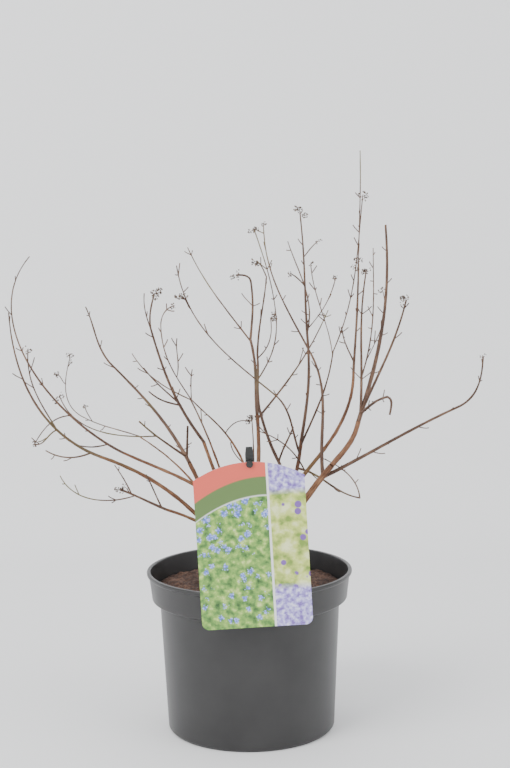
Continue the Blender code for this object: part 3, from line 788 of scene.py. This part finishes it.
def plastic_material(name, colour, roughness, mottle):
    made, tree, shader = new_material(name, roughness)
    place = add(tree, "ShaderNodeTexCoord").outputs["Object"]
    flow = noise_fac(tree, place, FLOW_NOISE)
    dark, light = (tuple(value * (1 + swing) for value in colour) for swing in (-mottle, mottle))
    tree.links.new(ramp(tree, flow, zip(FLOW_STOPS, (dark, light))), shader.inputs["Base Color"])
    rough = add(tree, "ShaderNodeMapRange", Value=flow, To_Min=roughness - ROUGHNESS_SWING,
                To_Max=roughness + ROUGHNESS_SWING)
    tree.links.new(rough.outputs["Result"], shader.inputs["Roughness"])
    bump_from(tree, shader, noise_fac(tree, place, GRAIN_NOISE), GRAIN_BUMP)
    return made


pot.data.materials.append(plastic_material("pot_plastic", POT_BLACK, roughness=0.36, mottle=0.2))
print("pot finish:", pot.data.materials[0].name)

# %% [markdown]
# ## Potting soil
# The soil is a rough, lumpy disc, a little lower at the wall. A fine grid of rings and spokes carries its
# lumps and crumbs, and the rim of the grid is carried down to close the solid out of sight.

# %% Soil surface
SOIL_RADIUS = 85 * MM
SOIL_RINGS = 60
SOIL_SPOKES = 160
SOIL_CROWN = 0.5 * MM
SOIL_DROP = 5.5 * MM
LUMP_SCALE, LUMP_DEPTH = 130, 2.2 * MM
LUMP_ROUGHNESS, LUMP_RATIO, LUMP_OCTAVES = 0.7, 2.2, 4
CRUMB_SCALE, CRUMB_DEPTH, CRUMB_SLICE = 700, 0.8 * MM, 3
SOIL_SKIRT = ((1.0, BAND_Z + 1 * MM), (0.9, LEDGE_Z), (0.94, FLOOR + 0.5 * MM))


def soil_height(x, y):
    share = min(1, hypot(x, y) / SOIL_RADIUS)
    spot = Vector((x, y, 0)) * LUMP_SCALE
    lumps = noise.fractal(spot, LUMP_ROUGHNESS, LUMP_RATIO, LUMP_OCTAVES) * LUMP_DEPTH
    crumbs = noise.noise(Vector((x, y, CRUMB_SLICE)) * CRUMB_SCALE) * CRUMB_DEPTH
    return SOIL_TOP + SOIL_CROWN - SOIL_DROP * share ** 3 + lumps + crumbs


def build_soil():
    bm = bmesh.new()
    middle = bm.verts.new((0, 0, SOIL_TOP))
    turns = [2 * pi * i / SOIL_SPOKES for i in range(SOIL_SPOKES)]
    rings = []
    for ring in range(1, SOIL_RINGS + 1):
        away = SOIL_RADIUS * ring / SOIL_RINGS
        places = [(away * cos(turn), away * sin(turn)) for turn in turns]
        rings.append([bm.verts.new((x, y, soil_height(x, y))) for x, y in places])
    for shrink, height in SOIL_SKIRT:
        rings.append([bm.verts.new((vert.co.x * shrink, vert.co.y * shrink, height)) for vert in rings[-1]])
    for i in range(SOIL_SPOKES):
        after = (i + 1) % SOIL_SPOKES
        bm.faces.new((middle, rings[0][i], rings[0][after]))
        for inner, outer in zip(rings, rings[1:]):
            bm.faces.new((inner[i], outer[i], outer[after], inner[after]))
    bm.faces.new(list(reversed(rings[-1])))
    for face in bm.faces:
        face.smooth = True
    return mesh_in_scene("soil_surface", bm)


soil = build_soil()
print("soil faces:", len(soil.data.polygons))

# %% [markdown]
# ## Soil colours
# Peat is red brown on its crumbs, and the near black between them is painted shade. A cell pattern gives the
# crumbs, a noise gives darker and lighter patches, and the ramp reads a mix of the two. The same patch noise
# drives the bump, so the dark patches are painted shade in its hollows.

# %% Soil material
CRUMB_CELLS = 420.0
PATCH_NOISE = {"Scale": 70.0, "Detail": 6.0}
CRUMB_SHARE = 0.35
# The nearly black stop is painted shade in the hollows, where the patch noise is low. The browner stops are
# the peat's own colour.
SOIL_COLOURS = ((0.3, (0.02, 0.011, 0.008)), (0.5, (0.06, 0.03, 0.02)), (0.66, (0.14, 0.075, 0.05)))
SOIL_BUMP = {"Strength": 0.8, "Distance": 1 * MM}
SOIL_ROUGHNESS = 0.95

soil_brown, tree, shader = new_material("soil_brown", SOIL_ROUGHNESS)
place = add(tree, "ShaderNodeTexCoord").outputs["Object"]
cells = add(tree, "ShaderNodeTexVoronoi", Vector=place, Scale=CRUMB_CELLS).outputs["Distance"]
# The patches are painted shade: the same noise lifts the bump, so the dark patches lie in its hollows.
patches = noise_fac(tree, place, PATCH_NOISE)
mixed = blend(tree, CRUMB_SHARE, patches, cells)
tree.links.new(ramp(tree, mixed, SOIL_COLOURS), shader.inputs["Base Color"])
bump_from(tree, shader, patches, SOIL_BUMP)
soil.data.materials.append(soil_brown)
print("soil finish:", soil_brown.name)

# %% [markdown]
# ## The plant label
# A stiff printed card with an arched top hangs on a peg in front of the pot. It is made of narrow upright
# strips, closer together at the sides where the corners turn, and a UV map on its face carries the print.

# %% Label card
LABEL_WIDTH = 93.5 * MM
LABEL_SIDE = 127 * MM
LABEL_ARCH = 13.5 * MM
LABEL_CORNER = 6 * MM
LABEL_THICK = 0.8 * MM
LABEL_FOOT = Vector((7, 0, 117.5)) * MM
LABEL_TILT = radians(2.7)
LABEL_LEAN = radians(2.5)
LABEL_GAP = GAP + 0.2 * MM
LABEL_COLUMNS = 96
FACING_FRONT = -0.5


def label_frame():
    """The label's own axes as a matrix: X across it, Z up it, its back on the plane Y = 0."""
    rim_drop = (POT_HEIGHT - LABEL_FOOT.z) * tan(LABEL_LEAN)
    foot = LABEL_FOOT + Vector((0, -RIM_RADIUS - LABEL_GAP - rim_drop, 0))
    return (Matrix.Translation(foot) @ Matrix.Rotation(-LABEL_LEAN, 4, "X")
            @ Matrix.Rotation(-LABEL_TILT, 4, "Y"))


def label_edges(across):
    """The label's lower and upper edge heights at a place across it."""
    half = LABEL_WIDTH / 2
    arch_radius = (half ** 2 + LABEL_ARCH ** 2) / (2 * LABEL_ARCH)
    top = LABEL_SIDE + LABEL_ARCH - arch_radius + sqrt(arch_radius ** 2 - across ** 2)
    inset = max(0, abs(across) - (half - LABEL_CORNER))
    foot = LABEL_CORNER - sqrt(LABEL_CORNER ** 2 - inset ** 2)
    return foot, top


def build_label():
    """A thin card of upright strips with a UV map on its face, one unit to the label's width."""
    bm = bmesh.new()
    strips = []
    for i in range(LABEL_COLUMNS + 1):
        across = LABEL_WIDTH / 2 * sin(pi * (i / LABEL_COLUMNS - 0.5))
        strips.append([bm.verts.new((across, y, height)) for y in (-LABEL_THICK, 0)
                       for height in label_edges(across)])
    for before, after in zip(strips, strips[1:]):
        low, high, back_low, back_high = before
        low2, high2, back_low2, back_high2 = after
        bm.faces.new((low, low2, high2, high))
        bm.faces.new((back_low, back_high, back_high2, back_low2))
        bm.faces.new((high, high2, back_high2, back_high))
        bm.faces.new((low, back_low, back_low2, low2))
    for low, high, back_low, back_high in (strips[0], strips[-1]):
        bm.faces.new((low, high, back_high, back_low))
    bmesh.ops.recalc_face_normals(bm, faces=bm.faces)
    layer = bm.loops.layers.uv.new("print")
    for face in bm.faces:
        for loop in face.loops:
            loop[layer].uv = (loop.vert.co.x / LABEL_WIDTH + 0.5, loop.vert.co.z / LABEL_WIDTH)
        face.material_index = 0 if face.normal.y < FACING_FRONT else 1
    bm.transform(label_frame())
    return mesh_in_scene("label_print", bm)


label = build_label()
print("label faces:", len(label.data.polygons))

# %% [markdown]
# ## The print
# The face shows a picture of a flowering bush under arched bands of green and red, with a side panel of
# lilac flowers. The design is a generic one, drawn with patterns. Each zone is laid over the last with a
# mask that is read from the UV map.

# %% Label print
INK_ROUGHNESS = 0.3
SOFT_EDGE = 0.006
DIVIDER_FROM, DIVIDER_TO, DIVIDER_EDGE = 0.655, 0.675, 0.002
ARC_MIDDLE, ARC_SAG = 0.62, 0.55
LINE_FOOT, GREEN_FOOT, RED_FOOT = 1.19, 1.2, 1.365
LILAC_TOP, LILAC_FOOT, LILAC_EDGE = 1.22, 0.36, 0.03
BLOSSOM_CELLS, PETAL_CELLS, PETAL_SHARE = 11.0, 55.0, 0.35
BLOSSOM_SIZE, BLOSSOM_EDGE = 0.42, 0.04
BLOSSOM_RISE, BLOSSOM_RISE_AT, BLOSSOM_RISE_EDGE = 0.12, 0.62, 0.5
BUD_CELLS, BUD_SIZE, BUD_EDGE = 9.0, 0.28, 0.02
LEAF_NOISE = {"Scale": 16.0, "Detail": 6.0}
LILAC_NOISE = {"Scale": 24.0, "Detail": 5.0}
MEADOW_NOISE = {"Scale": 9.0, "Detail": 4.0}
LEAVES = ((0.3, (0.03, 0.09, 0.025)), (0.45, (0.13, 0.3, 0.06)), (0.58, (0.3, 0.5, 0.1)),
          (0.7, (0.62, 0.75, 0.25)))
BLUES = ((0.1, (0.55, 0.62, 0.95)), (0.5, (0.18, 0.27, 0.75)), (0.8, (0.08, 0.13, 0.5)))
LILACS = ((0.35, (0.2, 0.12, 0.45)), (0.5, (0.4, 0.35, 0.75)), (0.65, (0.75, 0.75, 0.95)))
MEADOW = ((0.35, (0.2, 0.32, 0.05)), (0.5, (0.55, 0.65, 0.15)), (0.65, (0.8, 0.85, 0.45)))
LINE_GREY, BAND_GREEN, BAND_RED = (0.8, 0.8, 0.78), (0.12, 0.2, 0.06), (0.75, 0.12, 0.08)
DIVIDER_GREY, BUD_PURPLE = (0.85, 0.85, 0.85), (0.2, 0.1, 0.4)
CARD_WHITE = (0.75, 0.75, 0.73)


def print_material():
    made, tree, shader = new_material("label_ink", INK_ROUGHNESS)
    uv = add(tree, "ShaderNodeUVMap", {"uv_map": "print"}).outputs["UV"]
    parts = add(tree, "ShaderNodeSeparateXYZ", Vector=uv)
    across, up = parts.outputs["X"], parts.outputs["Y"]

    def above(value, level, soft=SOFT_EDGE):
        """A mask that is one where the value is over the level."""
        return add(tree, "ShaderNodeMapRange", Value=value, From_Min=level - soft,
                   From_Max=level + soft).outputs["Result"]

    def below(value, level, soft):
        return maths(tree, "SUBTRACT", 1.0, above(value, level, soft))

    def cells(scale):
        return add(tree, "ShaderNodeTexVoronoi", Vector=uv, Scale=scale).outputs["Distance"]

    def mottled(pattern, stops):
        return ramp(tree, noise_fac(tree, uv, pattern), stops)

    petals = cells(PETAL_CELLS)
    fluffy = maths(tree, "ADD", cells(BLOSSOM_CELLS), maths(tree, "MULTIPLY", petals, PETAL_SHARE))
    rise = maths(tree, "MULTIPLY", above(up, BLOSSOM_RISE_AT, BLOSSOM_RISE_EDGE), BLOSSOM_RISE)
    blossom = below(maths(tree, "SUBTRACT", fluffy, rise), BLOSSOM_SIZE, BLOSSOM_EDGE)
    picture = lay_over(tree, blossom, mottled(LEAF_NOISE, LEAVES), ramp(tree, petals, BLUES))
    aside = maths(tree, "ABSOLUTE", maths(tree, "SUBTRACT", across, ARC_MIDDLE))
    arched = maths(tree, "ADD", up, maths(tree, "MULTIPLY", maths(tree, "POWER", aside, 2.0), ARC_SAG))
    for foot, colour in ((LINE_FOOT, LINE_GREY), (GREEN_FOOT, BAND_GREEN), (RED_FOOT, BAND_RED)):
        picture = lay_over(tree, above(arched, foot), picture, colour)
    buds = below(cells(BUD_CELLS), BUD_SIZE, BUD_EDGE)
    side = lay_over(tree, buds, mottled(MEADOW_NOISE, MEADOW), BUD_PURPLE)
    lilac = mottled(LILAC_NOISE, LILACS)
    side = lay_over(tree, above(up, LILAC_TOP, LILAC_EDGE), side, lilac)
    side = lay_over(tree, below(up, LILAC_FOOT, LILAC_EDGE), side, lilac)
    whole = lay_over(tree, above(across, DIVIDER_FROM, DIVIDER_EDGE), picture, DIVIDER_GREY)
    whole = lay_over(tree, above(across, DIVIDER_TO, DIVIDER_EDGE), whole, side)
    tree.links.new(whole, shader.inputs["Base Color"])
    return made


label.data.materials.append(print_material())
label.data.materials.append(plastic_material("label_back", CARD_WHITE, roughness=0.4, mottle=0.03))
print("label finishes:", [finish.name for finish in label.data.materials])

# %% [markdown]
# ## The stake
# A flat black stake stands behind the label, and the button of its round peg shows in front of the card.
# The solid's shape is right as it is, so it stays and only gets a better plastic.

# %% Stake
STAKE_BLACK = (0.02, 0.021, 0.02)

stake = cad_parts["label_stake"]
stake.data.materials.clear()
stake.data.materials.append(plastic_material("stake_plastic", STAKE_BLACK, roughness=0.45, mottle=0.15))
print("stake finish:", stake.data.materials[0].name)

# %% [markdown]
# ## One dry cup
# Where a flower was, a small brown cup with five dry teeth stays on the plant. One cup is built here, a
# little over one unit high, and all the others are copies of it at other sizes.

# %% One dry cup
CUP_TEETH = 5
CUP_FOOT_Z, CUP_INNER_Z = -0.3, 0.2
CUP_LOW, CUP_NOTCH, CUP_HIGH = (0.3, 0.0), (0.4, 0.45), (0.62, 0.9)


def dry_cup():
    """A small open cup of dry teeth."""
    bm = bmesh.new()

    def ring(size, shift):
        radius, height = size
        turns = [2 * pi * (i + shift) / CUP_TEETH for i in range(CUP_TEETH)]
        return [bm.verts.new((radius * cos(turn), radius * sin(turn), height)) for turn in turns]

    foot = bm.verts.new((0, 0, CUP_FOOT_Z))
    low, high, notch = ring(CUP_LOW, 0), ring(CUP_HIGH, 0), ring(CUP_NOTCH, 0.5)
    inner = bm.verts.new((0, 0, CUP_INNER_Z))
    for i in range(CUP_TEETH):
        after = (i + 1) % CUP_TEETH
        bm.faces.new((foot, low[after], low[i]))
        bm.faces.new((low[i], low[after], notch[i]))
        bm.faces.new((low[i], notch[i], high[i]))
        bm.faces.new((low[after], high[after], notch[i]))
        bm.faces.new((high[i], notch[i], inner))
        bm.faces.new((high[after], inner, notch[i]))
    mesh = bpy.data.meshes.new("dry_cup")
    bm.to_mesh(mesh)
    bm.free()
    return bpy.data.objects.new("dry_cup", mesh)


cup = dry_cup()
print("faces in one cup:", len(cup.data.polygons))

# %% [markdown]
# ## Scattering the cups
# The cups sit close together and face all ways. A node tree scatters points over a surface, puts a cup on
# each point, turned outwards and at a random size, and makes them real faces. Its seed is fixed, so every
# run gives the same heads.

# %% Node tree: cups over a surface
def cup_clusters():
    group, given, result = new_group("cup_clusters", (
        ("Cup", "NodeSocketObject"), ("Density", "NodeSocketFloat"), ("Smallest", "NodeSocketFloat"),
        ("Largest", "NodeSocketFloat"), ("Seed", "NodeSocketInt"), ("Finish", "NodeSocketMaterial")))
    spots = add(group, "GeometryNodeDistributePointsOnFaces", Mesh=given["Geometry"],
                Density=given["Density"], Seed=given["Seed"])
    cup_shape = add(group, "GeometryNodeObjectInfo", Object=given["Cup"])
    size = add(group, "FunctionNodeRandomValue", {"data_type": "FLOAT"}, _2=given["Smallest"],
               _3=given["Largest"], Seed=given["Seed"])
    placed = add(group, "GeometryNodeInstanceOnPoints", Points=spots.outputs["Points"],
                 Instance=cup_shape.outputs["Geometry"], Rotation=spots.outputs["Rotation"],
                 Scale=size.outputs[1])
    real = add(group, "GeometryNodeRealizeInstances", Geometry=placed.outputs["Instances"])
    close_tree(group, result, real.outputs["Geometry"], given["Finish"])
    return group


cup_tree = cup_clusters()
print("nodes in the cups' tree:", len(cup_tree.nodes))

# %% [markdown]
# ## Seed heads
# A head is a bunch of such cups round a twig's tip. A few blobs say where the bunch is, the tree covers them
# with cups, and the blobs themselves are left out. Dry cups are mottled from nearly black to straw.

# %% Seed heads
HEAD_LUMPS = 4
HEAD_SPREAD = 0.42
HEAD_REACH = (1, 1, 0.8)
LUMP_SIZES = (0.12, 0.26)
CUP_DENSITY = 320000.0
CUP_SMALLEST, CUP_LARGEST = 0.7 * MM, 1.5 * MM
CUP_SEED = 5
DRY_ROUGHNESS = 0.85
DRY_NOISE = {"Scale": 400.0, "Detail": 3.0}
DRY_COLOURS = ((0.3, (0.03, 0.02, 0.015)), (0.52, (0.13, 0.085, 0.06)), (0.7, (0.32, 0.24, 0.18)))

dry_brown, tree, shader = new_material("dry_brown", DRY_ROUGHNESS)
dapple = noise_fac(tree, add(tree, "ShaderNodeTexCoord").outputs["Object"], DRY_NOISE)
tree.links.new(ramp(tree, dapple, DRY_COLOURS), shader.inputs["Base Color"])


def head_lumps():
    """The lumps that carry the cups: a few blobs round each seed head's place."""
    bm = bmesh.new()
    for limb, size in seed_heads:
        spot = slide(limb.tip)
        for i in range(HEAD_LUMPS):
            aside = Vector([rng.uniform(-reach, reach) for reach in HEAD_REACH])
            bmesh.ops.create_icosphere(bm, subdivisions=1, radius=size * rng.uniform(*LUMP_SIZES),
                                       matrix=Matrix.Translation(spot + aside * size * HEAD_SPREAD))
    return mesh_in_scene("head_lumps", bm)


dry_heads = grown_mesh("dry_seed_heads", head_lumps(), cup_tree, {
    "Cup": cup, "Density": CUP_DENSITY, "Smallest": CUP_SMALLEST, "Largest": CUP_LARGEST, "Seed": CUP_SEED,
    "Finish": dry_brown})
bpy.data.objects.remove(cup)
print("seed head faces:", len(dry_heads.data.polygons))

# %% [markdown]
# ## Riding on the frame
# The whole plant is one rigid body. Each piece rides on it, and the solids that most pieces take the place
# of are hidden. The finest twigs and the seed heads take the place of none.

# %% Bind the pieces
pieces = (stems, stock, fine_twigs, dry_heads, pot, soil, label, *twigs.values())
for made in pieces:
    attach(made, "root")
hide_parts(*[f"bough_{name}" for name in boughs])
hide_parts("stock")
for name, made in twigs.items():
    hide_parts(f"twigs_{name}")
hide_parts("pot")
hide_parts("potting_soil")
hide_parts("label")
print("pieces bound:", len(pieces))

# %% [markdown]
# ## Floor and wall
# A pale floor that bends up into a pale wall leaves no hard line behind the twigs. It is one sheet: the
# outline of floor, bend and wall, drawn from side to side. The wall would hide the plant from a camera
# behind it.

# %% Studio sweep
SWEEP_HALF_WIDTH = 2.5
SWEEP_FRONT_Y = -3.0
WALL_Y = 0.75
WALL_ROUND = 0.12
WALL_HIGH = 2.5
BEND_STEPS = 12
PAPER_GREY = 0.93
PAPER_ROUGHNESS = 0.9


def build_sweep():
    bm = bmesh.new()
    outline = [(SWEEP_FRONT_Y, 0.0), (WALL_Y - WALL_ROUND, 0.0)]
    for i in range(1, BEND_STEPS + 1):
        angle = pi / 2 * i / BEND_STEPS
        outline.append((WALL_Y - WALL_ROUND + sin(angle) * WALL_ROUND, WALL_ROUND * (1 - cos(angle))))
    outline.append((WALL_Y, WALL_HIGH))
    sides = (-SWEEP_HALF_WIDTH, SWEEP_HALF_WIDTH)
    left, right = ([bm.verts.new((x, y, z)) for y, z in outline] for x in sides)
    for i in range(len(outline) - 1):
        face = bm.faces.new((left[i], right[i], right[i + 1], left[i + 1]))
        face.smooth = True
    return mesh_in_scene("studio_sweep", bm)


sweep = build_sweep()
pale, tree, shader = new_material("pale_paper", PAPER_ROUGHNESS)
shader.inputs["Base Color"].default_value = (PAPER_GREY, PAPER_GREY, PAPER_GREY, 1)
sweep.data.materials.append(pale)
print("sweep faces:", len(sweep.data.polygons))

# %% [markdown]
# ## Light
# One large soft light stands in front on the left, a weaker one fills from the right, and the pale sky does
# the rest, so the shadows stay faint.

# %% Sky and soft lights
SKY = (0.95, 0.97, 1.0, 1)
SKY_STRENGTH = 1.05
LIT_PLACE = Vector((0, 0, 0.25))
KEY_PLACE, KEY_SIZE, KEY_POWER = Vector((-1.3, -1.3, 1.6)), 1.2, 38
FILL_PLACE, FILL_SIZE, FILL_POWER = Vector((1.6, -1.0, 1.2)), 1.4, 14

world = bpy.data.worlds.new("studio")
world.use_nodes = True
world.node_tree.nodes["Background"].inputs["Color"].default_value = SKY
world.node_tree.nodes["Background"].inputs["Strength"].default_value = SKY_STRENGTH
bpy.context.scene.world = world


def soft_light(name, place, size, power):
    data = bpy.data.lights.new(name, "AREA")
    data.size = size
    data.energy = power
    made = in_scene(name, data)
    made.location = place
    made.rotation_euler = (LIT_PLACE - place).to_track_quat("-Z", "Y").to_euler()
    print(name, "light:", power, "W")


soft_light("key", KEY_PLACE, KEY_SIZE, KEY_POWER)
soft_light("fill", FILL_PLACE, FILL_SIZE, FILL_POWER)
